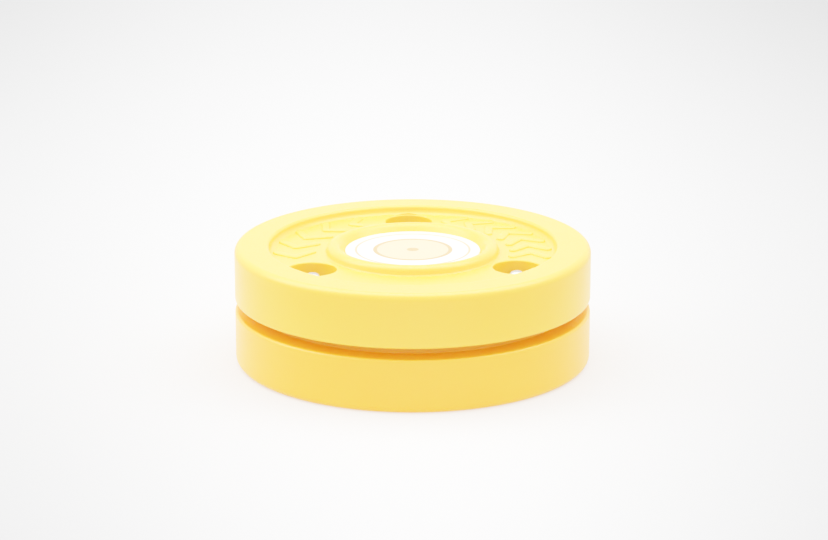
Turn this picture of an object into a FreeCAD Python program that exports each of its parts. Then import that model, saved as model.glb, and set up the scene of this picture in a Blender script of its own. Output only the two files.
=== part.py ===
import FreeCAD, Part
import math
import os

# Off-ice training puck: two equal moulded discs held face to face by three loose pins,
# with a steel weight plate between them and a round label on each face.
# Millimetres. +Z is the puck's axis, and the origin is the centre of its bottom face.
# Each disc is made with its contact plane at z = 0 and its outer face up, and is then put in place.

# The whole puck
puck_diameter = 76.2
puck_height = 25.4
gap_width = 2.3               # open groove between the two rims
float_travel = 0.8            # how far the upper disc lifts off the lower one

# Rim
puck_radius = puck_diameter / 2
disc_height = puck_height / 2                   # from the contact plane to the outer face
face_edge_round = 1.5
gap_edge_round = 0.6
land_outer_radius = 33.6                        # the land closes the groove from inside
land_inner_radius = 31.6

# Outer face: channel, bead and label seat
channel_depth = 1.85
channel_outer_radius = 30.5
channel_wall_lean = 0.3
channel_foot_round = 1.3
channel_edge_round = 0.7
bead_base_radii = (14.55, 18.6)
bead_crest_radii = (15.9, 17.95)
bead_rounds = (1.6, 1.5)
bead_foot_round = 0.5
label_seat_depth = 1.6
label_radius = 14.4
label_thickness = 0.25

# Inside of a disc
web_thickness = 3.0
cavity_round = 1.0
rib_count = 12
rib_thickness = 2.0
hub_radii = (7.0, 9.4)
boss_radius = 7.3                               # round the counterbore
boss_neck_radius = 4.3                          # round the pin hole, down to the contact plane
boss_neck_start = 7.8                           # below the outer face

# Pin holes
hole_angles = {"back": 90, "left": 210, "right": 330}
hole_pitch_radius = 24.8
counterbore_radius = 5.1
counterbore_depth = 5.3                         # below the outer face
counterbore_lip_round = 0.3
pin_hole_radius = 2.3

# Pins and push-on retainers
pin_radius = 2.0
pin_dome_round = 1.6
pin_stand_out = 2.6                             # beyond the retainer's seat
retainer_radius = 4.7
retainer_thickness = 0.5
retainer_cone_radius = 3.3
retainer_height = 1.2
retainer_bite = 0.02                            # how far the teeth cut into the pin
retainer_slot_count = 6
retainer_slot_width = 0.6

# Weight plate
plate_thickness = 2.8
plate_radius = 30.9
plate_hub_clearance = 0.6
plate_boss_clearance = 0.5

# Raised marks in the channel: a plain row of chevrons on the left and on the right
mark_rows = [{"centre": 150, "count": 5, "pitch": 17.0}, {"centre": 30, "count": 7, "pitch": 12.6}]
mark_radii = (21.5, 28.9)
mark_width = 3.4
mark_bar_half_width = 0.75
mark_draft = 0.25
mark_height = 0.35

# Levels above the contact plane
face_z = disc_height
floor_z = face_z - channel_depth
seat_z = face_z - label_seat_depth
ceiling_z = floor_z - web_thickness
rim_z = gap_width / 2
counterbore_z = face_z - counterbore_depth
neck_z = face_z - boss_neck_start
rib_edge_z = (plate_thickness + float_travel) / 2

overlap = 0.5                                   # how far joined features reach into each other
up = FreeCAD.Vector(0, 0, 1)
origin = FreeCAD.Vector(0, 0, 0)


def polar(radius, degrees, z=0):
    angle = math.radians(degrees)
    return FreeCAD.Vector(radius * math.cos(angle), radius * math.sin(angle), z)


def rounded_loop(corners):
    """A closed wire in the XZ plane. A corner is (radius, z), or (radius, z, rounding)."""
    points = [FreeCAD.Vector(corner[0], 0, corner[1]) for corner in corners]
    starts, ends, arcs = [], [], []
    for i, corner in enumerate(corners):
        here = points[i]
        back = (points[i - 1] - here).normalize()
        ahead = (points[(i + 1) % len(points)] - here).normalize()
        if len(corner) < 3:
            starts.append(here)
            ends.append(here)
            arcs.append(None)
            continue
        half_angle = back.getAngle(ahead) / 2
        cut = corner[2] / math.tan(half_angle)
        middle = (back + ahead).normalize() * (corner[2] / math.sin(half_angle) - corner[2])
        starts.append(here + back * cut)
        ends.append(here + ahead * cut)
        arcs.append(here + middle)
    edges = []
    for i in range(len(points)):
        if arcs[i]:
            edges.append(Part.Arc(starts[i], arcs[i], ends[i]).toShape())
        following = starts[(i + 1) % len(points)]
        if (following - ends[i]).Length > 1e-6:
            edges.append(Part.LineSegment(ends[i], following).toShape())
    return Part.Wire(edges)


def turned(corners):
    """The solid that the outline sweeps round the Z axis."""
    return Part.Face(rounded_loop(corners)).revolve(origin, up, 360)


def disc_shell():
    """The disc's turned shape, hollow on the side that meets the other disc."""
    return turned([
        (0, seat_z),
        (bead_base_radii[0], seat_z),
        (bead_crest_radii[0], face_z, bead_rounds[0]),
        (bead_crest_radii[1], face_z, bead_rounds[1]),
        (bead_base_radii[1], floor_z, bead_foot_round),
        (channel_outer_radius, floor_z, channel_foot_round),
        (channel_outer_radius + channel_wall_lean, face_z, channel_edge_round),
        (puck_radius, face_z, face_edge_round),
        (puck_radius, rim_z, gap_edge_round),
        (land_outer_radius, rim_z),
        (land_outer_radius, 0),
        (land_inner_radius, 0),
        (land_inner_radius, ceiling_z, cavity_round),
        (0, ceiling_z),
    ])


def disc_hub():
    """The tube in the middle that meets the other disc's and centres the weight plate."""
    tube = Part.makeCylinder(hub_radii[1], ceiling_z + overlap)
    return tube.cut(Part.makeCylinder(hub_radii[0], ceiling_z + overlap))


def disc_ribs():
    """Radial ribs from the hub to the rim. The weight plate lies on their edges."""
    start = (hub_radii[0] + hub_radii[1]) / 2
    length = land_inner_radius + overlap - start
    ribs = []
    for i in range(rib_count):
        rib = Part.makeBox(length, rib_thickness, ceiling_z + overlap - rib_edge_z)
        rib.translate(FreeCAD.Vector(start, -rib_thickness / 2, rib_edge_z))
        rib.rotate(origin, up, i * 360 / rib_count)
        ribs.append(rib)
    return ribs


def disc_boss(angle):
    """The stepped boss that holds one counterbore and one pin hole."""
    wide = Part.makeCylinder(boss_radius, ceiling_z + overlap - neck_z, polar(hole_pitch_radius, angle, neck_z))
    neck = Part.makeCylinder(boss_neck_radius, neck_z + overlap, polar(hole_pitch_radius, angle))
    return wide.fuse(neck)


def disc_hole(angle):
    """The space that one pin and its retainer take out of a disc, with a rounded lip at the mouth."""
    above = face_z + overlap
    lip = counterbore_radius + counterbore_lip_round
    lip_z = floor_z - counterbore_lip_round
    below_crest = counterbore_lip_round * (1 - math.sqrt(0.5))
    bottom = FreeCAD.Vector(counterbore_radius, 0, counterbore_z)
    mouth = FreeCAD.Vector(counterbore_radius, 0, lip_z)
    bend = FreeCAD.Vector(counterbore_radius + below_crest, 0, floor_z - below_crest)
    flare = FreeCAD.Vector(lip, 0, floor_z)
    top = FreeCAD.Vector(lip, 0, above)
    axis_top = FreeCAD.Vector(0, 0, above)
    axis_bottom = FreeCAD.Vector(0, 0, counterbore_z)
    outline = Part.Wire([
        Part.LineSegment(axis_bottom, bottom).toShape(),
        Part.LineSegment(bottom, mouth).toShape(),
        Part.Arc(mouth, bend, flare).toShape(),
        Part.LineSegment(flare, top).toShape(),
        Part.LineSegment(top, axis_top).toShape(),
        Part.LineSegment(axis_top, axis_bottom).toShape(),
    ])
    counterbore = Part.Face(outline).revolve(origin, up, 360)
    drilling = Part.makeCylinder(pin_hole_radius, counterbore_z + 2 * overlap, FreeCAD.Vector(0, 0, -overlap))
    hole = counterbore.fuse(drilling)
    hole.translate(polar(hole_pitch_radius, angle))
    return hole


def stadium(start, end, half_width, z):
    """A flat loop with two straight sides and two half-round ends."""
    along = (end - start).normalize()
    aside = FreeCAD.Vector(-along.y, along.x, 0) * half_width
    cap = along * half_width
    level = FreeCAD.Vector(0, 0, z)
    a, b = start + level, end + level
    return Part.Wire([
        Part.LineSegment(a + aside, b + aside).toShape(),
        Part.Arc(b + aside, b + cap, b - aside).toShape(),
        Part.LineSegment(b - aside, a - aside).toShape(),
        Part.Arc(a - aside, a - cap, a + aside).toShape(),
    ])


def mark_bar(start, end):
    """One raised bar of a chevron, with sides that lean in so that it leaves the mould."""
    foot = stadium(start, end, mark_bar_half_width + mark_draft, floor_z - mark_height)
    crest = stadium(start, end, mark_bar_half_width - mark_draft / 2, floor_z + mark_height)
    return Part.makeLoft([foot, crest], True, True)


def chevron(angle):
    """One raised mark: two bars that meet in a point, which points round the channel."""
    inner = FreeCAD.Vector(mark_radii[0], -mark_width / 2, 0)
    point = FreeCAD.Vector((mark_radii[0] + mark_radii[1]) / 2, mark_width / 2, 0)
    outer = FreeCAD.Vector(mark_radii[1], -mark_width / 2, 0)
    mark = mark_bar(inner, point).fuse(mark_bar(outer, point))
    mark.rotate(origin, up, angle)
    return mark


def disc_marks():
    marks = []
    for row in mark_rows:
        for i in range(row["count"]):
            step = i - (row["count"] - 1) / 2
            marks.append(chevron(row["centre"] + step * row["pitch"]))
    return marks


def disc():
    """One moulded disc, outer face up, with its contact plane at z = 0."""
    bosses = [disc_boss(angle) for angle in hole_angles.values()]
    holes = [disc_hole(angle) for angle in hole_angles.values()]
    body = disc_shell().fuse([disc_hub()] + disc_ribs() + bosses + disc_marks())
    return body.cut(holes).removeSplitter()


def weight_plate():
    """A flat steel plate with holes for the hub and for the three boss necks."""
    plate = Part.makeCylinder(plate_radius, plate_thickness)
    cuts = [Part.makeCylinder(hub_radii[1] + plate_hub_clearance, plate_thickness)]
    for angle in hole_angles.values():
        place = polar(hole_pitch_radius, angle)
        cuts.append(Part.makeCylinder(boss_neck_radius + plate_boss_clearance, plate_thickness, place))
    return plate.cut(cuts)


def label():
    return Part.makeCylinder(label_radius, label_thickness)


def pin(length):
    """A round pin with domed ends, standing on z = 0."""
    return turned([
        (0, 0),
        (pin_radius, 0, pin_dome_round),
        (pin_radius, length, pin_dome_round),
        (0, length),
    ])


def retainer():
    """A toothed push-on washer that seats on z = 0, with its teeth leaning up to the pin's end."""
    bore = pin_radius - retainer_bite
    washer = turned([
        (bore, retainer_height - retainer_thickness),
        (retainer_cone_radius - retainer_thickness / 2, 0),
        (retainer_radius, 0),
        (retainer_radius, retainer_thickness),
        (retainer_cone_radius, retainer_thickness),
        (bore + retainer_thickness, retainer_height),
        (bore, retainer_height),
    ])
    for i in range(retainer_slot_count):
        slot = Part.makeBox(retainer_cone_radius, retainer_slot_width, retainer_height)
        slot.translate(FreeCAD.Vector(0, -retainer_slot_width / 2, 0))
        slot.rotate(origin, up, i * 360 / retainer_slot_count)
        washer = washer.cut(slot)
    return washer


def raised(shape, z):
    moved = shape.copy()
    moved.translate(FreeCAD.Vector(0, 0, z))
    return moved


def turned_over(shape):
    """The shape turned half a turn about the Y axis, which keeps the hole pattern."""
    moved = shape.copy()
    moved.rotate(origin, FreeCAD.Vector(0, 1, 0), 180)
    return moved


def write(shape, node):
    """Writes the one solid of a sub-part."""
    solid = shape.Solids[0]
    assert len(shape.Solids) == 1 and solid.isValid(), node
    solid.exportStep("parts/" + node + ".step")
    print(f"{node}: {solid.Volume / 1000:.3f} cm3")


os.makedirs("parts", exist_ok=True)

middle_z = puck_height / 2
upper_seat_z = puck_height - counterbore_depth            # where the upper retainers lie
lower_seat_z = counterbore_depth - float_travel           # where the lower ones hang at rest
pin_low_z = lower_seat_z - pin_stand_out
pin_length = upper_seat_z + pin_stand_out - pin_low_z

moulding = disc()
write(raised(moulding, middle_z), "upper_disc")
write(raised(turned_over(moulding), middle_z), "lower_disc")
write(raised(weight_plate(), middle_z - rib_edge_z), "weight_plate")
write(raised(label(), puck_height - label_seat_depth), "top_label")
write(raised(label(), label_seat_depth - label_thickness), "bottom_label")

for side, angle in hole_angles.items():
    place = polar(hole_pitch_radius, angle)
    for node, shape in (
        ("pin_" + side, raised(pin(pin_length), pin_low_z)),
        ("upper_retainer_" + side, raised(retainer(), upper_seat_z)),
        ("lower_retainer_" + side, raised(turned_over(retainer()), lower_seat_z)),
    ):
        shape.translate(place)
        write(shape, node)
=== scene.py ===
import math

import bpy
from mathutils import Matrix, Vector


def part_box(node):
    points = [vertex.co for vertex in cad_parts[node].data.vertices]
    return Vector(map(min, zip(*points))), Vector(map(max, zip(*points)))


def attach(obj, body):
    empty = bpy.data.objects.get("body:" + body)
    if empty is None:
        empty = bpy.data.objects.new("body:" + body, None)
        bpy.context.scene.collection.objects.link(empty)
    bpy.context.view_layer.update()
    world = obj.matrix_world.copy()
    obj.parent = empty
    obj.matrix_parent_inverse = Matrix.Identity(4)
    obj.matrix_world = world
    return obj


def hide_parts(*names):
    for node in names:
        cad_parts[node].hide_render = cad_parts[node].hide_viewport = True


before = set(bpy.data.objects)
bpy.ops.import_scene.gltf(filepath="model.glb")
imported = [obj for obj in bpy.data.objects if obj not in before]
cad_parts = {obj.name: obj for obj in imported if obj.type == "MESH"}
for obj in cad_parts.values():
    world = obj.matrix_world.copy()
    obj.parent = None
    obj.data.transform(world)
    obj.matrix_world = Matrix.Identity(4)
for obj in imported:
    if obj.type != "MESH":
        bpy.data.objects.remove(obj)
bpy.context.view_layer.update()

# Off-ice training puck: two moulded plastic discs on three loose steel pins, with a steel
# weight plate between them and a printed label on each face.
# Lengths of the puck and places of the camera are millimetres until they are multiplied by MM.
# The table and the softbox are in metres.
MM = 0.001


def low_and_high(node):
    """A node's lowest and highest corners, in millimetres."""
    low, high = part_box(node)
    return Vector(low) / MM, Vector(high) / MM


# Places and outer sizes come from the frame
disc_low, disc_high = low_and_high("upper_disc")
puck_radius = disc_high.x
puck_height = disc_high.z
middle_z = disc_low.z
disc_height = puck_height - middle_z
label_low, label_high = low_and_high("top_label")
label_radius = label_high.x
label_thickness = label_high.z - label_low.z
pin_low, pin_high = low_and_high("pin_back")
pin_radius = (pin_high.x - pin_low.x) / 2
pin_length = pin_high.z - pin_low.z
hole_pitch_radius = (pin_high.y + pin_low.y) / 2
retainer_low, retainer_high = low_and_high("upper_retainer_back")
retainer_radius = (retainer_high.x - retainer_low.x) / 2
retainer_height = retainer_high.z - retainer_low.z
lower_retainer_top = low_and_high("lower_retainer_back")[1].z

# Levels of a disc above its contact plane, and the radii of its features
half_gap = 1.15
channel_depth = 1.85
web_thickness = 3.0
boss_neck_depth = 7.8
face_z = disc_height
floor_z = face_z - channel_depth
seat_z = label_low.z - middle_z
ceiling_z = floor_z - web_thickness
counterbore_z = retainer_low.z - middle_z
boss_neck_z = face_z - boss_neck_depth
rib_edge_z = 1.8
land_radii = (31.6, 33.6)
channel_radius = 30.5
wall_lean = 0.3
bead_base_radii = (14.55, 18.6)
bead_crest_radii = (15.9, 17.95)
hub_radii = (7.0, 9.4)
boss_radius = 7.3
boss_neck_radius = 4.3
counterbore_radius = 5.1
pin_hole_radius = 2.3
rib_half_width = 1.0
root_overlap = 0.5            # how far a rib or a boss runs into the wall that it grows from

# Roundings
face_round = 1.5
gap_round = 0.6
channel_foot_round = 1.3
channel_edge_round = 0.7
bead_rounds = (1.6, 1.5)
bead_foot_round = 0.5
lip_round = 0.3
counterbore_floor_round = 0.15
land_corner_round = 0.25
land_edge_round = 0.1
cavity_round = 1.0
hub_foot_round = 0.5
hub_edge_round = 0.15
boss_shoulder_round = 0.4
boss_step_round = 0.3
boss_edge_round = 0.2
label_edge_rounds = (0.12, 0.04)
pin_dome_round = 1.6
support = 0.12                # a ring of points this far from a rounding keeps the flat flat

# A colour Mix node's two colour inputs
MIX_FROM, MIX_TO = 6, 7


# ---------------------------------------------------------------- node trees


def add_node(tree, kind, links=None, **settings):
    """Adds a node. links gives an input, by name or number, a constant, a socket, or one or more nodes."""
    node = tree.nodes.new(kind)
    for name, value in settings.items():
        setattr(node, name, value)
    for key, value in (links or {}).items():
        for one in value if isinstance(value, list) else [value]:
            if isinstance(one, bpy.types.Node):
                one = next(socket for socket in one.outputs if socket.enabled)
            if isinstance(one, bpy.types.NodeSocket):
                tree.links.new(one, node.inputs[key])
            else:
                node.inputs[key].default_value = one
    return node


def new_tree(name, sockets):
    """A geometry node tree whose named inputs are given as name: (kind, default)."""
    tree = bpy.data.node_groups.new(name, "GeometryNodeTree")
    for label, (kind, default) in sockets.items():
        socket = tree.interface.new_socket(label, in_out="INPUT", socket_type="NodeSocket" + kind)
        if default is not None:
            socket.default_value = default
    tree.interface.new_socket("Geometry", in_out="OUTPUT", socket_type="NodeSocketGeometry")
    return tree, tree.nodes.new("NodeGroupInput").outputs


def end_tree(tree, geometry):
    add_node(tree, "NodeGroupOutput", {0: geometry})
    return tree


def turning_tree():
    """Sweeps a profile round the Z axis. Corners are rounded, and the seam and the poles are closed."""
    weld_distance = 0.0005
    tree, given = new_tree("turn_profile", {
        "Profile": ("Geometry", None),
        "Steps per rounding": ("Int", 6),
        "Segments": ("Int", 96),
    })
    curve = add_node(tree, "GeometryNodeMeshToCurve", {"Mesh": given["Profile"]})
    rounding = add_node(tree, "GeometryNodeInputNamedAttribute", {
        "Name": "rounding",
    }, data_type="FLOAT")
    profile = add_node(tree, "GeometryNodeFilletCurve", {
        "Curve": curve, "Count": given["Steps per rounding"], "Radius": rounding, "Limit Radius": True,
    }, mode="POLY")
    size = add_node(tree, "GeometryNodeAttributeDomainSize", {"Geometry": profile}, component="CURVE")
    columns = add_node(tree, "FunctionNodeIntegerMath", {0: given["Segments"], 1: 1}, operation="ADD")
    sheet = add_node(tree, "GeometryNodeMeshGrid", {
        "Vertices X": size.outputs["Point Count"], "Vertices Y": columns,
    })
    index = add_node(tree, "GeometryNodeInputIndex")
    ring = add_node(tree, "FunctionNodeIntegerMath", {0: index, 1: columns}, operation="DIVIDE")
    column = add_node(tree, "FunctionNodeIntegerMath", {0: index, 1: columns}, operation="MODULO")
    place = add_node(tree, "GeometryNodeSampleIndex", {
        "Geometry": profile, "Value": add_node(tree, "GeometryNodeInputPosition"), "Index": ring,
    }, data_type="FLOAT_VECTOR", domain="POINT")
    radius_height = add_node(tree, "ShaderNodeSeparateXYZ", {0: place})
    turn = add_node(tree, "ShaderNodeMath", {0: column, 1: given["Segments"]}, operation="DIVIDE")
    angle = add_node(tree, "ShaderNodeMath", {0: turn, 1: math.tau}, operation="MULTIPLY")
    cosine = add_node(tree, "ShaderNodeMath", {0: angle}, operation="COSINE")
    sine = add_node(tree, "ShaderNodeMath", {0: angle}, operation="SINE")
    radius = radius_height.outputs["X"]
    x = add_node(tree, "ShaderNodeMath", {0: radius, 1: cosine}, operation="MULTIPLY")
    y = add_node(tree, "ShaderNodeMath", {0: radius, 1: sine}, operation="MULTIPLY")
    point = add_node(tree, "ShaderNodeCombineXYZ", {"X": x, "Y": y, "Z": radius_height.outputs["Z"]})
    swept = add_node(tree, "GeometryNodeSetPosition", {"Geometry": sheet, "Position": point})
    closed = add_node(tree, "GeometryNodeMergeByDistance", {"Geometry": swept, "Distance": weld_distance * MM})
    return end_tree(tree, closed)


def round_row_tree():
    """Repeats a piece in a row round the Z axis."""
    tree, given = new_tree("row_round_axis", {
        "Piece": ("Geometry", None),
        "Count": ("Int", 3),
        "Middle of row": ("Float", 0.0),
        "Pitch": ("Float", 120.0),
    })
    index = add_node(tree, "GeometryNodeInputIndex")
    last = add_node(tree, "ShaderNodeMath", {0: given["Count"], 1: 1.0}, operation="SUBTRACT")
    half = add_node(tree, "ShaderNodeMath", {0: last, 1: 0.5}, operation="MULTIPLY")
    step = add_node(tree, "ShaderNodeMath", {0: index, 1: half}, operation="SUBTRACT")
    degrees = add_node(tree, "ShaderNodeMath", {
        0: step, 1: given["Pitch"], 2: given["Middle of row"],
    }, operation="MULTIPLY_ADD")
    radians = add_node(tree, "ShaderNodeMath", {0: degrees}, operation="RADIANS")
    turn = add_node(tree, "FunctionNodeAxisAngleToRotation", {"Axis": (0, 0, 1), "Angle": radians})
    points = add_node(tree, "GeometryNodePoints", {"Count": given["Count"]})
    row = add_node(tree, "GeometryNodeInstanceOnPoints", {
        "Points": points, "Instance": given["Piece"], "Rotation": turn,
    })
    return end_tree(tree, add_node(tree, "GeometryNodeRealizeInstances", {"Geometry": row}))


turn_profile = turning_tree()
row_round_axis = round_row_tree()


def finish_tree(tree, geometry, material, sharp_from):
    """Smooth shading with sharp edges where faces meet at a steep angle, then the material."""
    angle = add_node(tree, "GeometryNodeInputMeshEdgeAngle").outputs["Unsigned Angle"]
    sharp = add_node(tree, "FunctionNodeCompare", {
        0: angle, 1: math.radians(sharp_from),
    }, operation="GREATER_THAN")
    smooth = add_node(tree, "GeometryNodeSetShadeSmooth", {"Geometry": geometry, "Shade Smooth": True})
    creased = add_node(tree, "GeometryNodeSetShadeSmooth", {
        "Geometry": smooth, "Selection": sharp, "Shade Smooth": False,
    }, domain="EDGE")
    real = add_node(tree, "GeometryNodeRealizeInstances", {"Geometry": creased})
    return end_tree(tree, add_node(tree, "GeometryNodeSetMaterial", {
        "Geometry": real, "Material": material,
    }))


def turned_piece_tree(material):
    """A plain turned piece, such as a pin or a label."""
    tree, given = new_tree("turned_piece", {
        "Profile": ("Geometry", None),
        "Steps per rounding": ("Int", 8),
        "Segments": ("Int", 96),
    })
    body = add_node(tree, "GeometryNodeGroup", {
        0: given["Profile"], 1: given["Steps per rounding"], 2: given["Segments"],
    }, node_tree=turn_profile)
    return finish_tree(tree, body, material, sharp_from=40)


def push_on_washer_tree(material):
    """A turned washer with a row of radial slots, which leave the teeth that grip the pin."""
    tree, given = new_tree("push_on_washer", {
        "Profile": ("Geometry", None),
        "Segments": ("Int", 96),
        "Teeth": ("Int", 6),
        "Slot width": ("Float", 0.6 * MM),
        "Slot reach": ("Float", 3.3 * MM),
    })
    steps_per_rounding = 4
    slot_height = 10           # well over the washer's height
    washer = add_node(tree, "GeometryNodeGroup", {
        0: given["Profile"], 1: steps_per_rounding, 2: given["Segments"],
    }, node_tree=turn_profile)
    size = add_node(tree, "ShaderNodeCombineXYZ", {
        "X": given["Slot reach"], "Y": given["Slot width"], "Z": slot_height * MM,
    })
    shift = add_node(tree, "ShaderNodeMath", {0: given["Slot reach"], 1: 0.5}, operation="MULTIPLY")
    slot = add_node(tree, "GeometryNodeTransform", {
        "Geometry": add_node(tree, "GeometryNodeMeshCube", {"Size": size}),
        "Translation": add_node(tree, "ShaderNodeCombineXYZ", {"X": shift}),
    })
    pitch = add_node(tree, "ShaderNodeMath", {0: 360.0, 1: given["Teeth"]}, operation="DIVIDE")
    slots = add_node(tree, "GeometryNodeGroup", {
        0: slot, 1: given["Teeth"], 2: 0.0, 3: pitch,
    }, node_tree=row_round_axis)
    cut = add_node(tree, "GeometryNodeMeshBoolean", {
        "Mesh 1": washer, "Mesh 2": slots, "Self Intersection": True,
    }, operation="DIFFERENCE", solver="EXACT")
    return finish_tree(tree, cut, material, sharp_from=30)


def moulded_disc_tree(material):
    """The whole disc: turned shell and hub, ribs, bosses, raised marks and the pin holes."""
    tree, given = new_tree("moulded_disc", {
        "Profile": ("Geometry", None),
        "Steps per rounding": ("Int", 8),
        "Segments": ("Int", 240),
        "Hole": ("Object", None),
        "Holes": ("Int", 3),
        "Middle hole angle": ("Float", 210.0),
        "Boss": ("Object", None),
        "Rib": ("Object", None),
        "Ribs": ("Int", 12),
        "Mark": ("Object", None),
        "Left marks": ("Int", 5),
        "Left middle": ("Float", 150.0),
        "Left pitch": ("Float", 17.0),
        "Right marks": ("Int", 7),
        "Right middle": ("Float", 30.0),
        "Right pitch": ("Float", 12.6),
    })

    def row(name, count, middle, pitch):
        piece = add_node(tree, "GeometryNodeObjectInfo", {"Object": given[name]}).outputs["Geometry"]
        return add_node(tree, "GeometryNodeGroup", {
            0: piece, 1: count, 2: middle, 3: pitch,
        }, node_tree=row_round_axis)

    hole_pitch = add_node(tree, "ShaderNodeMath", {0: 360.0, 1: given["Holes"]}, operation="DIVIDE")
    rib_pitch = add_node(tree, "ShaderNodeMath", {0: 360.0, 1: given["Ribs"]}, operation="DIVIDE")
    half_rib_pitch = add_node(tree, "ShaderNodeMath", {0: rib_pitch, 1: 0.5}, operation="MULTIPLY")
    shell = add_node(tree, "GeometryNodeGroup", {
        0: given["Profile"], 1: given["Steps per rounding"], 2: given["Segments"],
    }, node_tree=turn_profile)
    additions = [
        shell,
        row("Rib", given["Ribs"], half_rib_pitch, rib_pitch),
        row("Boss", given["Holes"], given["Middle hole angle"], hole_pitch),
        row("Mark", given["Left marks"], given["Left middle"], given["Left pitch"]),
        row("Mark", given["Right marks"], given["Right middle"], given["Right pitch"]),
    ]
    joined = add_node(tree, "GeometryNodeMeshBoolean", {
        "Mesh 2": additions,
    }, operation="UNION", solver="EXACT")
    holes = row("Hole", given["Holes"], given["Middle hole angle"], hole_pitch)
    cut = add_node(tree, "GeometryNodeMeshBoolean", {
        "Mesh 1": joined, "Mesh 2": holes,
    }, operation="DIFFERENCE", solver="EXACT")
    return finish_tree(tree, cut, material, sharp_from=34)


# ---------------------------------------------------------------- making pieces


def profile_object(name, corners):
    """A line in the XZ plane, from the top round the outside. A corner is (radius, z[, rounding])."""
    mesh = bpy.data.meshes.new(name)
    points = [(corner[0] * MM, 0, corner[1] * MM) for corner in corners]
    mesh.from_pydata(points, [(i, i + 1) for i in range(len(points) - 1)], [])
    rounding = mesh.attributes.new("rounding", "FLOAT", "POINT")
    for i, corner in enumerate(corners):
        rounding.data[i].value = corner[2] * MM if len(corner) > 2 else 0.0
    return bpy.data.objects.new(name, mesh)


def grow(base, tree, **sizes):
    """Runs a node tree on an object and gives back the result as a plain mesh."""
    bpy.context.scene.collection.objects.link(base)
    modifier = base.modifiers.new("grow", "NODES")
    modifier.node_group = tree
    for socket in tree.interface.items_tree:
        key = socket.name.lower().replace(" ", "_")
        if socket.in_out == "INPUT" and key in sizes:
            modifier[socket.identifier] = sizes[key]
    seen = bpy.context.evaluated_depsgraph_get()
    mesh = bpy.data.meshes.new_from_object(base.evaluated_get(seen), depsgraph=seen)
    base.modifiers.remove(modifier)
    bpy.data.objects.remove(base)
    material = mesh.materials[mesh.polygons[0].material_index]
    mesh.materials.clear()
    mesh.materials.append(material)
    return mesh


def place_piece(name, mesh, body, node, place):
    """A finished piece: its place is put in its mesh, and it stands for one node of the frame."""
    mesh = mesh.copy()
    mesh.transform(place)
    mesh.name = name
    piece = bpy.data.objects.new(name, mesh)
    bpy.context.scene.collection.objects.link(piece)
    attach(piece, body)
    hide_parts(node)
    return piece


def raised(z):
    return Matrix.Translation((0, 0, z * MM))


turned_over = Matrix.Rotation(math.pi, 4, "Y")


# ---------------------------------------------------------------- materials


def linear(colour):
    """An sRGB hex colour as linear RGBA."""
    parts = [int(colour[i:i + 2], 16) / 255 for i in (1, 3, 5)]
    return tuple(p / 12.92 if p <= 0.04045 else ((p + 0.055) / 1.055) ** 2.4 for p in parts) + (1.0,)


def new_material(name, **surface):
    """A material with a Principled surface. surface sets the shader's own sockets by name."""
    material = bpy.data.materials.new(name)
    material.use_nodes = True
    tree = material.node_tree
    tree.nodes.clear()
    shader = add_node(tree, "ShaderNodeBsdfPrincipled", {
        key.replace("_", " "): value for key, value in surface.items()
    })
    add_node(tree, "ShaderNodeOutputMaterial", {"Surface": shader})
    return material, tree, shader


def moulded_polyethylene(name, dark, light):
    """High-density polyethylene from a polished mould: a waxy yellow that light soaks into."""
    material, tree, shader = new_material(
        name,
        Roughness=0.34,
        IOR=1.54,
        Subsurface_Weight=0.3,
        Subsurface_Radius=(1.0, 0.42, 0.1),
        Subsurface_Scale=3 * MM,
        Subsurface_Anisotropy=0.3,
        Coat_Weight=0.35,
        Coat_Roughness=0.28,
    )
    place = add_node(tree, "ShaderNodeTexCoord").outputs["Object"]
    flow_width = 14            # the melt flows in soft streaks about this wide
    flow = add_node(tree, "ShaderNodeTexNoise", {
        "Vector": place, "Scale": 1 / (flow_width * MM), "Detail": 2.0, "Roughness": 0.4,
        "Distortion": 0.6,
    })
    colour = add_node(tree, "ShaderNodeMix", {
        "Factor": flow.outputs["Fac"], MIX_FROM: linear(dark), MIX_TO: linear(light),
    }, data_type="RGBA")
    tree.links.new(colour.outputs[2], shader.inputs["Base Color"])
    grain_width = 0.35         # the fine bloom that a polished steel mould leaves
    grain = add_node(tree, "ShaderNodeTexNoise", {
        "Vector": place, "Scale": 1 / (grain_width * MM), "Detail": 3.0, "Roughness": 0.6,
    })
    gloss = add_node(tree, "ShaderNodeMapRange", {
        "Value": grain.outputs["Fac"], "From Min": 0.3, "From Max": 0.7,
        "To Min": 0.32, "To Max": 0.42,
    })
    tree.links.new(gloss.outputs[0], shader.inputs["Roughness"])
    bump = add_node(tree, "ShaderNodeBump", {
        "Strength": 0.12, "Distance": 0.01 * MM, "Height": grain.outputs["Fac"],
    })
    sink_width = 9             # thick mouldings shrink into faint broad waves
    sinks = add_node(tree, "ShaderNodeTexNoise", {
        "Vector": place, "Scale": 1 / (sink_width * MM), "Detail": 1.0,
    })
    waves = add_node(tree, "ShaderNodeBump", {
        "Strength": 0.25, "Distance": 0.03 * MM, "Height": sinks.outputs["Fac"], "Normal": bump,
    })
    tree.links.new(waves.outputs[0], shader.inputs["Normal"])
    return material


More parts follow.
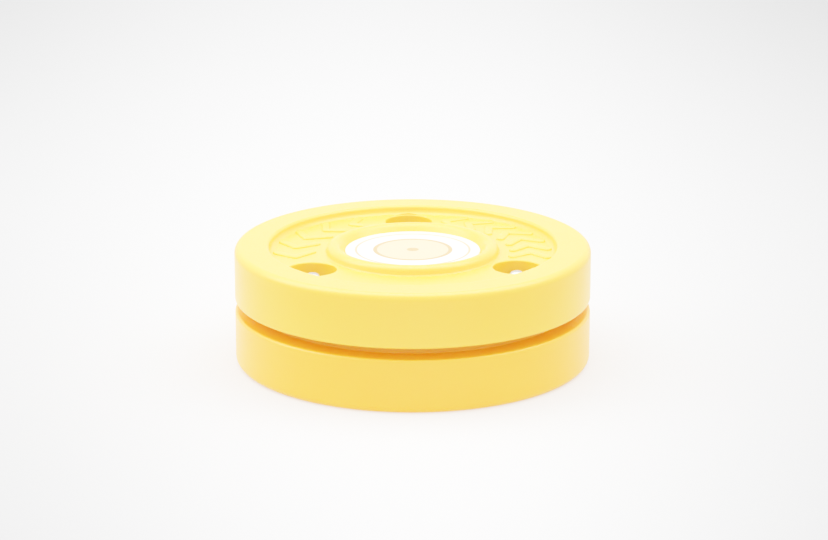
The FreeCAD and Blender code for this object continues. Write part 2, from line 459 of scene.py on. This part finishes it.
def printed_vinyl():
    """White vinyl sticker with a clear film: even, smooth and a little glossy, with a pale plain print."""
    material, tree, shader = new_material(
        "printed_vinyl_white", Base_Color=linear("#F7F4F0"), Roughness=0.3, IOR=1.5,
        Coat_Weight=0.25, Coat_Roughness=0.12,
    )
    place = add_node(tree, "ShaderNodeTexCoord").outputs["Object"]
    flat = add_node(tree, "ShaderNodeSeparateXYZ", {0: place})
    across = add_node(tree, "ShaderNodeCombineXYZ", {"X": flat.outputs["X"], "Y": flat.outputs["Y"]})
    radius = add_node(tree, "ShaderNodeVectorMath", {0: across}, operation="LENGTH").outputs["Value"]
    edge = 0.06                # how softly the ink ends

    def ring(low, high):
        """1 between two radii in millimetres, and 0 elsewhere."""
        inside = add_node(tree, "ShaderNodeMapRange", {
            "Value": radius, "From Min": (low - edge) * MM, "From Max": (low + edge) * MM,
        })
        outside = add_node(tree, "ShaderNodeMapRange", {
            "Value": radius, "From Min": (high - edge) * MM, "From Max": (high + edge) * MM,
            "To Min": 1.0, "To Max": 0.0,
        })
        return add_node(tree, "ShaderNodeMath", {0: inside, 1: outside}, operation="MULTIPLY")

    paper = linear("#F8F6F3")
    layers = [
        (ring(-1, 7.6), "#ECD09C"),
        (ring(7.6, 8.5), "#CFA162"),
        (ring(-1, 1.3), "#CFA162"),
        (ring(11.9, 12.4), "#DDB981"),
    ]
    ink = paper
    for mask, colour in layers:
        printed = add_node(tree, "ShaderNodeMix", {
            "Factor": mask, MIX_FROM: ink, MIX_TO: linear(colour),
        }, data_type="RGBA")
        ink = printed.outputs[2]
    tree.links.new(ink, shader.inputs["Base Color"])
    film_width = 2.5           # the film follows the seat in waves about this wide
    film = add_node(tree, "ShaderNodeTexNoise", {
        "Vector": place, "Scale": 1 / (film_width * MM), "Detail": 1.0,
    })
    bump = add_node(tree, "ShaderNodeBump", {
        "Strength": 0.15, "Distance": 0.02 * MM, "Height": film.outputs["Fac"],
    })
    tree.links.new(bump.outputs[0], shader.inputs["Normal"])
    return material


def plated_steel(name, colour, roughness, scratch_width):
    """Plated steel: a bright metal with fine marks from turning or stamping."""
    material, tree, shader = new_material(
        name, Base_Color=linear(colour), Metallic=1.0, Roughness=roughness,
    )
    place = add_node(tree, "ShaderNodeTexCoord").outputs["Object"]
    grain = add_node(tree, "ShaderNodeTexNoise", {
        "Vector": place, "Scale": 1 / (scratch_width * MM), "Detail": 4.0, "Roughness": 0.65,
    })
    gloss = add_node(tree, "ShaderNodeMapRange", {
        "Value": grain.outputs["Fac"], "From Min": 0.25, "From Max": 0.75,
        "To Min": roughness - 0.06, "To Max": roughness + 0.1,
    })
    tree.links.new(gloss.outputs[0], shader.inputs["Roughness"])
    bump = add_node(tree, "ShaderNodeBump", {
        "Strength": 0.2, "Distance": 0.01 * MM, "Height": grain.outputs["Fac"],
    })
    tree.links.new(bump.outputs[0], shader.inputs["Normal"])
    return material


# The lower disc gets a copy of the same plastic painted a little darker and nearer to orange: painted shade
# for the light that falls off towards the floor
upper_plastic = moulded_polyethylene("polyethylene_lemon_yellow", "#FFC43C", "#FFC842")
lower_plastic_painted_shade = moulded_polyethylene("polyethylene_golden_yellow", "#FFB726", "#FFBC2E")
label_vinyl = printed_vinyl()
pin_steel = plated_steel("nickel_plated_steel", "#D5CFC4", 0.22, 0.2)
retainer_steel = plated_steel("zinc_plated_spring_steel", "#B9BBBD", 0.34, 0.25)
plate_steel = plated_steel("rolled_steel_plate", "#8F9092", 0.42, 0.8)


# ---------------------------------------------------------------- discs


def chevron_mark():
    """A raised chevron with soft edges, lying on the channel floor with its foot just below it."""
    inner, outer, width = 21.5, 28.9, 3.4
    foot, crest, height, sunk = 0.95, 0.5, 0.35, 0.3
    edge_steps, cap_steps = 6, 10
    start = Vector((inner, -width / 2))
    point = Vector(((inner + outer) / 2, width / 2))
    end = Vector((outer, -width / 2))
    first = (point - start).normalized()
    second = (end - point).normalized()
    left_first = Vector((-first.y, first.x))
    left_second = Vector((-second.y, second.x))
    miter = (left_first + left_second).normalized()
    miter_length = 1 / miter.dot(left_first)

    def fan(centre, axis, half_width, turn_from, turn_to):
        """Points on an arc about centre, turned clockwise from axis."""
        for i in range(cap_steps + 1):
            turn = turn_from + (turn_to - turn_from) * i / cap_steps
            yield centre + Matrix.Rotation(-turn, 2) @ axis * half_width

    def outline(half_width):
        bend = left_first.angle(left_second)
        yield from fan(start, -left_first, half_width, 0, math.pi)
        yield from fan(point, left_first, half_width, 0, bend)
        yield from fan(end, left_second, half_width, 0, math.pi)
        yield point - miter * miter_length * half_width

    rings = [(foot, -sunk)]
    for i in range(edge_steps + 1):
        turn = math.pi / 2 * i / edge_steps
        rings.append((crest + (foot - crest) * math.cos(turn), height * math.sin(turn)))
    vertices, faces = [], []
    for half_width, z in rings:
        loop = list(outline(half_width))
        vertices += [(p.x * MM, p.y * MM, (floor_z + z) * MM) for p in loop]
    count = len(loop)
    for level in range(len(rings) - 1):
        for i in range(count):
            a, b = level * count + i, level * count + (i + 1) % count
            faces.append((a, b, b + count, a + count)[::-1])
    faces.append(tuple(range(count)))
    faces.append(tuple(range(len(vertices) - count, len(vertices)))[::-1])
    mesh = bpy.data.meshes.new("mark")
    mesh.from_pydata(vertices, [], faces)
    return mesh


def rib():
    """One radial rib between the hub and the rim."""
    mesh = bpy.data.meshes.new("rib")
    near, far = (hub_radii[0] + hub_radii[1]) / 2, land_radii[0] + root_overlap
    low, high = rib_edge_z, ceiling_z + root_overlap
    corners = [
        (x * MM, y * MM, z * MM)
        for x in (near, far) for y in (-rib_half_width, rib_half_width) for z in (low, high)
    ]
    sides = [(0, 1, 3, 2), (4, 6, 7, 5), (0, 4, 5, 1), (2, 3, 7, 6), (0, 2, 6, 4), (1, 5, 7, 3)]
    mesh.from_pydata(corners, [], sides)
    return mesh


def boss():
    """One stepped boss, ready to be repeated round the axis."""
    root_z = ceiling_z + root_overlap
    profile = profile_object("boss_profile", [
        (0, root_z), (boss_radius, root_z), (boss_radius, boss_neck_z, boss_shoulder_round),
        (boss_neck_radius, boss_neck_z, boss_step_round), (boss_neck_radius, 0, boss_edge_round),
        (0, 0),
    ])
    return grow(profile, turned_piece_tree(upper_plastic), steps_per_rounding=4, segments=64)


def pin_space():
    """What one pin and its retainers take out of a disc, with a softly rounded mouth."""
    overrun = 1                # the cut runs this far past both sides of the disc
    above, mouth_radius = face_z + overrun, counterbore_radius + lip_round
    profile = profile_object("hole_profile", [
        (0, above), (mouth_radius, above), (mouth_radius, floor_z),
        (counterbore_radius, floor_z, lip_round),
        (counterbore_radius, counterbore_z, counterbore_floor_round),
        (pin_hole_radius, counterbore_z), (pin_hole_radius, -overrun), (0, -overrun),
    ])
    return grow(profile, turned_piece_tree(upper_plastic), steps_per_rounding=8, segments=96)


def moulded_disc():
    """One disc with its contact plane at z = 0 and its outer face up."""
    channel_flat = (bead_base_radii[1] + bead_foot_round, channel_radius - channel_foot_round - support)
    rim_flat = (
        channel_radius + wall_lean + channel_edge_round + support,
        puck_radius - face_round - support,
    )
    side_flat = (face_z - face_round - support, half_gap + gap_round + support)
    profile = profile_object("disc_profile", [
        (0, seat_z), (bead_base_radii[0], seat_z),
        (bead_crest_radii[0], face_z, bead_rounds[0]), (bead_crest_radii[1], face_z, bead_rounds[1]),
        (bead_base_radii[1], floor_z, bead_foot_round),
        (channel_flat[0], floor_z), (channel_flat[1], floor_z),
        (channel_radius, floor_z, channel_foot_round),
        (channel_radius + wall_lean, face_z, channel_edge_round),
        (rim_flat[0], face_z), (rim_flat[1], face_z), (puck_radius, face_z, face_round),
        (puck_radius, side_flat[0]), (puck_radius, side_flat[1]),
        (puck_radius, half_gap, gap_round), (puck_radius - gap_round - support, half_gap),
        (land_radii[1], half_gap, land_corner_round),
        (land_radii[1], 0, land_edge_round), (land_radii[0], 0, land_edge_round),
        (land_radii[0], ceiling_z, cavity_round),
        (hub_radii[1], ceiling_z, hub_foot_round), (hub_radii[1], 0, hub_edge_round),
        (hub_radii[0], 0, hub_edge_round), (hub_radii[0], ceiling_z, hub_foot_round),
        (0, ceiling_z),
    ])
    along_radius = Matrix.Translation((hole_pitch_radius * MM, 0, 0))
    helpers = {"Hole": pin_space(), "Boss": boss(), "Rib": rib(), "Mark": chevron_mark()}
    for name in ("Hole", "Boss"):
        helpers[name].transform(along_radius)
    objects = {name.lower(): bpy.data.objects.new(name, mesh) for name, mesh in helpers.items()}
    disc = grow(profile, moulded_disc_tree(upper_plastic), **objects)
    for helper in objects.values():
        bpy.data.objects.remove(helper)
    return disc


disc_mesh = moulded_disc()
place_piece("upper_disc_moulding", disc_mesh, "upper_half", "upper_disc", raised(middle_z))
lower_disc = place_piece("lower_disc_moulding", disc_mesh, "lower_half", "lower_disc",
                         raised(middle_z) @ turned_over)
# the lower disc wears the darker copy of the plastic, painted shade
lower_disc.data.materials[0] = lower_plastic_painted_shade


# ---------------------------------------------------------------- labels, pins, retainers, plate


def label_disc():
    """A thin round sticker, lying on z = 0."""
    top_round, foot_round = label_edge_rounds
    profile = profile_object("label_profile", [
        (0, label_thickness), (label_radius, label_thickness, top_round),
        (label_radius, 0, foot_round), (0, 0),
    ])
    return grow(profile, turned_piece_tree(label_vinyl), steps_per_rounding=5, segments=192)


def domed_pin():
    """A round pin with domed ends, standing on z = 0."""
    profile = profile_object("pin_profile", [
        (0, pin_length), (pin_radius, pin_length, pin_dome_round),
        (pin_radius, 0, pin_dome_round), (0, 0),
    ])
    return grow(profile, turned_piece_tree(pin_steel), steps_per_rounding=14, segments=96)


def push_on_retainer():
    """A toothed washer that seats on z = 0, with its teeth leaning up to the pin's end."""
    sheet = 0.5
    grip = 0.02                # how far the teeth cut into the pin
    bore = pin_radius - grip
    cone = 3.3
    profile = profile_object("retainer_profile", [
        (bore, retainer_height), (bore, retainer_height - sheet, 0.05), (cone - sheet / 2, 0, 0.3),
        (retainer_radius, 0, 0.1), (retainer_radius, sheet, 0.15), (cone, sheet, 0.35),
        (bore + sheet, retainer_height, 0.1), (bore, retainer_height),
    ])
    return grow(profile, push_on_washer_tree(retainer_steel))


label_mesh = label_disc()
place_piece("top_label_print", label_mesh, "upper_half", "top_label", raised(label_low.z))
bottom_label_top = low_and_high("bottom_label")[1].z
place_piece("bottom_label_print", label_mesh, "lower_half", "bottom_label",
            raised(bottom_label_top) @ turned_over)

pin_mesh = domed_pin()
retainer_mesh = push_on_retainer()
for side in ("back", "left", "right"):
    low, high = low_and_high("pin_" + side)
    on_axis = Matrix.Translation(((low.x + high.x) / 2 * MM, (low.y + high.y) / 2 * MM, 0))
    body = side + "_pin"
    place_piece("domed_pin_" + side, pin_mesh, body, "pin_" + side,
                on_axis @ raised(pin_low.z))
    place_piece("upper_push_on_" + side, retainer_mesh, body, "upper_retainer_" + side,
                on_axis @ raised(retainer_low.z))
    place_piece("lower_push_on_" + side, retainer_mesh, body, "lower_retainer_" + side,
                on_axis @ raised(lower_retainer_top) @ turned_over)

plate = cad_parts["weight_plate"]
plate.data.materials.clear()
plate.data.materials.append(plate_steel)


# ---------------------------------------------------------------- studio


def floor_with_painted_glow():
    """A matt grey floor with a painted glow: emission brightest round the puck and fanning out behind it, a
    painted pool of light that fades to plain grey further away.
    """
    material, tree, shader = new_material(
        "opal_acrylic", Base_Color=linear("#B2B2B2"), Roughness=0.8,
        Emission_Color=linear("#FFFFFF"),
    )
    glow_width, glow_length, glow_middle = 0.08, 0.4, 0.038
    glow_strength = 0.4
    fan_distance = 0.6         # the glow is twice as wide this far behind the puck
    place = add_node(tree, "ShaderNodeSeparateXYZ", {
        0: add_node(tree, "ShaderNodeTexCoord").outputs["Object"],
    })
    fan = add_node(tree, "ShaderNodeMath", {
        0: place.outputs["Y"], 1: 1 / fan_distance, 2: 1.0,
    }, operation="MULTIPLY_ADD")
    across = add_node(tree, "ShaderNodeMath", {0: place.outputs["X"], 1: fan}, operation="DIVIDE")
    along = add_node(tree, "ShaderNodeMath", {0: place.outputs["Y"], 1: fan}, operation="DIVIDE")
    glow = add_node(tree, "ShaderNodeMapping", {
        "Vector": add_node(tree, "ShaderNodeCombineXYZ", {"X": across, "Y": along}),
        "Location": (0, glow_middle, 0), "Scale": (glow_width, glow_length, 1),
    }, vector_type="TEXTURE")
    away = add_node(tree, "ShaderNodeVectorMath", {0: glow, 1: glow}, operation="DOT_PRODUCT")
    fade = add_node(tree, "ShaderNodeMath", {
        0: math.exp(-1), 1: away.outputs["Value"],
    }, operation="POWER")
    strength = add_node(tree, "ShaderNodeMath", {0: fade, 1: glow_strength}, operation="MULTIPLY")
    tree.links.new(strength.outputs[0], shader.inputs["Emission Strength"])
    return material


def studio_floor():
    """A wide pale floor that the puck stands on, with a painted glow round the puck."""
    mesh = bpy.data.meshes.new("studio_floor")
    half = 3.0
    corners = [(-half, -half, 0), (half, -half, 0), (half, half, 0), (-half, half, 0)]
    mesh.from_pydata(corners, [], [(0, 1, 2, 3)])
    mesh.materials.append(floor_with_painted_glow())
    floor = bpy.data.objects.new("studio_floor", mesh)
    bpy.context.scene.collection.objects.link(floor)


def softbox(name, place, aim, width, length, power):
    """A rectangular soft light. Its length runs front to back."""
    light = bpy.data.lights.new(name, "AREA")
    light.shape = "RECTANGLE"
    light.size = width
    light.size_y = length
    light.energy = power
    lamp = bpy.data.objects.new(name, light)
    lamp.location = place
    lamp.rotation_euler = (Vector(aim) - Vector(place)).to_track_quat("-Z", "Y").to_euler()
    bpy.context.scene.collection.objects.link(lamp)


def studio_light():
    """An even white tent with one large soft light overhead."""
    tent_strength = 0.78
    world = bpy.data.worlds.new("white_tent")
    world.use_nodes = True
    world.node_tree.nodes.clear()
    glow = add_node(world.node_tree, "ShaderNodeBackground", {
        "Color": linear("#FFFFFF"), "Strength": tent_strength,
    })
    add_node(world.node_tree, "ShaderNodeOutputWorld", {"Surface": glow})
    bpy.context.scene.world = world
    softbox("overhead", place=(-0.06, 0.05, 0.34), aim=(-0.02, 0.05, 0),
            width=0.3, length=1.1, power=1.9)


def camera_at_puck():
    """A long lens, a little above the puck and a touch to its left."""
    distance, elevation, swing = 600, math.radians(17.0), math.radians(2.05)
    centre = Vector((0, 0, puck_height / 2))
    away = Vector((
        -math.sin(swing) * math.cos(elevation),
        -math.cos(swing) * math.cos(elevation),
        math.sin(elevation),
    ))
    place = centre + away * distance
    aim_offset = Vector((0.28, 0, 6.75))
    aim = centre + aim_offset
    data = bpy.data.cameras.new("camera")
    data.lens = 121.3
    data.sensor_width = 36
    camera = bpy.data.objects.new("camera", data)
    camera.location = place * MM
    camera.rotation_euler = (aim - place).to_track_quat("-Z", "Y").to_euler()
    bpy.context.scene.collection.objects.link(camera)
    bpy.context.scene.camera = camera


def high_key_response():
    """An overexposed, high-key picture: the bright tones crowd together just under white."""
    view = bpy.context.scene.view_settings
    view.view_transform = "Standard"
    view.use_curve_mapping = True
    every_channel = view.curve_mapping.curves[3]
    shoulder, white, steps = 2.5, 0.983, 10
    for i in range(1, steps + 1):
        bright = i / steps
        shown = white * (1 - math.exp(-shoulder * bright)) / (1 - math.exp(-shoulder))
        if i < steps:
            every_channel.points.new(bright, shown)
        else:
            every_channel.points[-1].location = (bright, shown)
    view.curve_mapping.update()


studio_floor()
studio_light()
camera_at_puck()
high_key_response()
